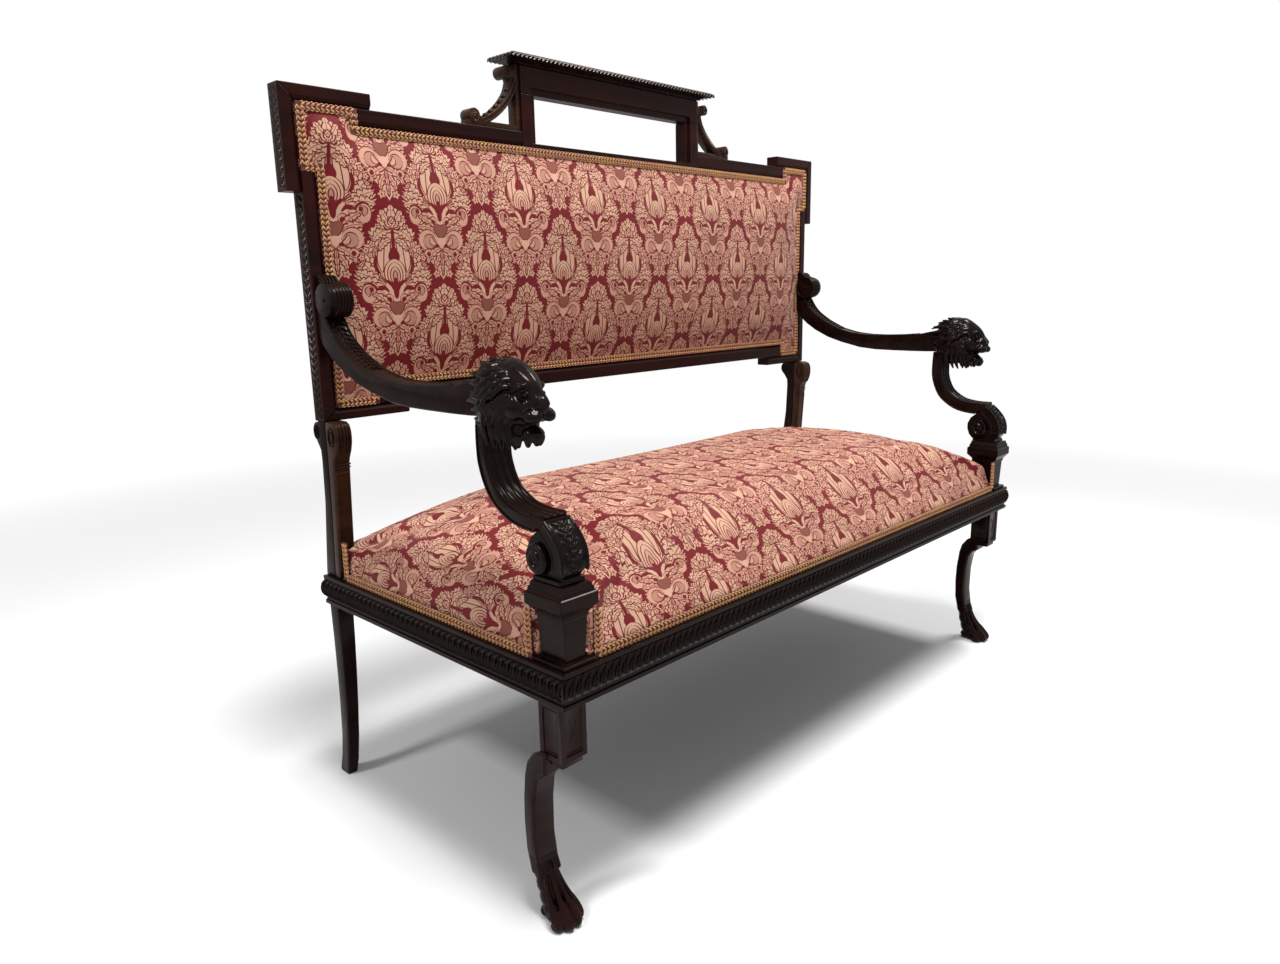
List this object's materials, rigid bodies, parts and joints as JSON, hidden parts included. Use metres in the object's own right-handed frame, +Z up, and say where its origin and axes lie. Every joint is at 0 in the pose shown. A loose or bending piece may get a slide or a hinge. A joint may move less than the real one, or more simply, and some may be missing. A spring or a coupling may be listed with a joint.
{
  "type": "settee",
  "caption": "Carved show-wood settee: eared upholstered back, open pierced crest with cornice, lion-head arms on S supports, sprung seat with braid, paw feet in front and sabre legs behind.",
  "frame": {"origin": "on the floor, at the middle of the footprint's bounding box", "axes": "+X along the seat to the sitter's left, which is the right-hand end seen from the front; +Y from the front to the back; +Z up"},
  "size_m": [1.312, 0.5989, 1.1703],
  "materials": {
    "dark_wood": "near-black polished carved hardwood",
    "red_wood": "dark red-brown polished hardwood",
    "warm_wood": "golden-brown polished hardwood",
    "frame_wood": "plain sawn hardwood, unfinished",
    "damask": "woven damask, rose-beige leaf pattern on a crimson ground",
    "braid": "looped old-gold braid",
    "canvas": "jute webbing and canvas",
    "black_cloth": "black lining cloth",
    "spring_steel": "drawn spring wire"
  },
  "bodies": {
    "root": {"left_arm_pedestal": "dark_wood", "right_arm_pedestal": "dark_wood", "left_arm_scroll": "dark_wood", "right_arm_scroll": "dark_wood", "left_arm_support": "dark_wood", "right_arm_support": "dark_wood", "left_arm": "dark_wood", "right_arm": "dark_wood", "left_lion_head": "dark_wood", "right_lion_head": "dark_wood", "left_front_leg": "dark_wood", "right_front_leg": "dark_wood", "left_rear_leg": "dark_wood", "right_rear_leg": "dark_wood", "left_rear_post": "dark_wood", "right_rear_post": "dark_wood", "left_rail_moulding": "dark_wood", "right_rail_moulding": "dark_wood", "front_rail_moulding": "dark_wood", "crest_cornice": "dark_wood", "left_stile": "red_wood", "right_stile": "red_wood", "left_ear_side": "red_wood", "right_ear_side": "red_wood", "left_ear_top": "red_wood", "right_ear_top": "red_wood", "left_lower_ear": "red_wood", "right_lower_ear": "red_wood", "left_top_rail": "red_wood", "right_top_rail": "red_wood", "left_crest_post": "red_wood", "right_crest_post": "red_wood", "rear_seat_rail": "red_wood", "bottom_rail": "red_wood", "crest_sill": "red_wood", "crest_head": "red_wood", "left_post_console": "warm_wood", "right_post_console": "warm_wood", "left_crest_bracket": "warm_wood", "right_crest_bracket": "warm_wood", "left_seat_rail": "frame_wood", "right_seat_rail": "frame_wood", "left_corner_block": "frame_wood", "right_corner_block": "frame_wood", "front_seat_rail": "frame_wood", "centre_cross_rail": "frame_wood", "seat_pad": "damask", "back_pad": "damask", "outside_back_cover": "damask", "front_seat_braid": "braid", "left_seat_braid": "braid", "right_seat_braid": "braid", "back_braid": "braid", "seat_webbing": "canvas", "spring_canvas": "canvas", "back_webbing": "canvas", "dust_cover": "black_cloth", "lashed_springs": "spring_steel"}
  },
  "joints": []
}
